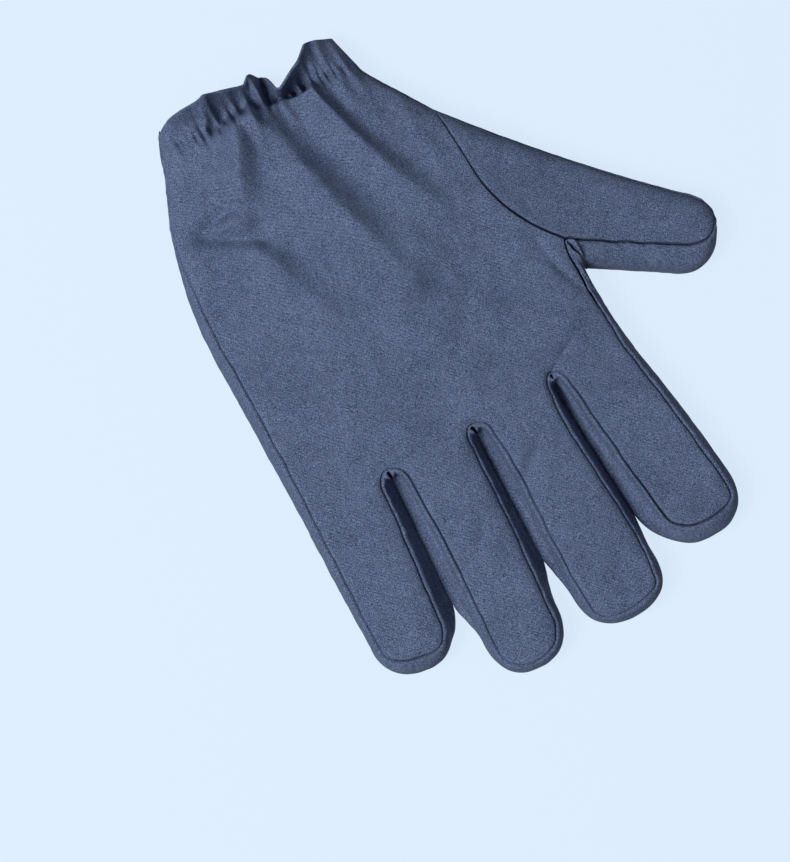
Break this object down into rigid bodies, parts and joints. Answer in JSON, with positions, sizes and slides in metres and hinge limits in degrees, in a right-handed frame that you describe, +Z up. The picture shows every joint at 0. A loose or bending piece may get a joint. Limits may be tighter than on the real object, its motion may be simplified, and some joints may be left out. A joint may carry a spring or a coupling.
{
  "type": "work glove",
  "caption": "Right-hand glove of thin woven shielding cloth, with boxed fingers, a set-in thumb and a gathered cuff with a frill, lying on its palm.",
  "frame": {"origin": "on the surface that the glove lies on, below the middle of its outline", "axes": "+Z up, out of the back of the hand; +Y towards the fingertips; -X towards the thumb"},
  "size_m": [0.1896, 0.2464, 0.0202],
  "materials": {
    "shielding_cloth": "matte heather twill, navy and pale grey threads"
  },
  "bodies": {
    "root": {"back_panel": "shielding_cloth", "palm_panel": "shielding_cloth", "thumb_back": "shielding_cloth", "thumb_palm": "shielding_cloth", "thumb_strip": "shielding_cloth", "index_strip": "shielding_cloth", "middle_strip": "shielding_cloth", "ring_strip": "shielding_cloth", "little_strip": "shielding_cloth", "cuff_frill": "shielding_cloth"}
  },
  "joints": []
}
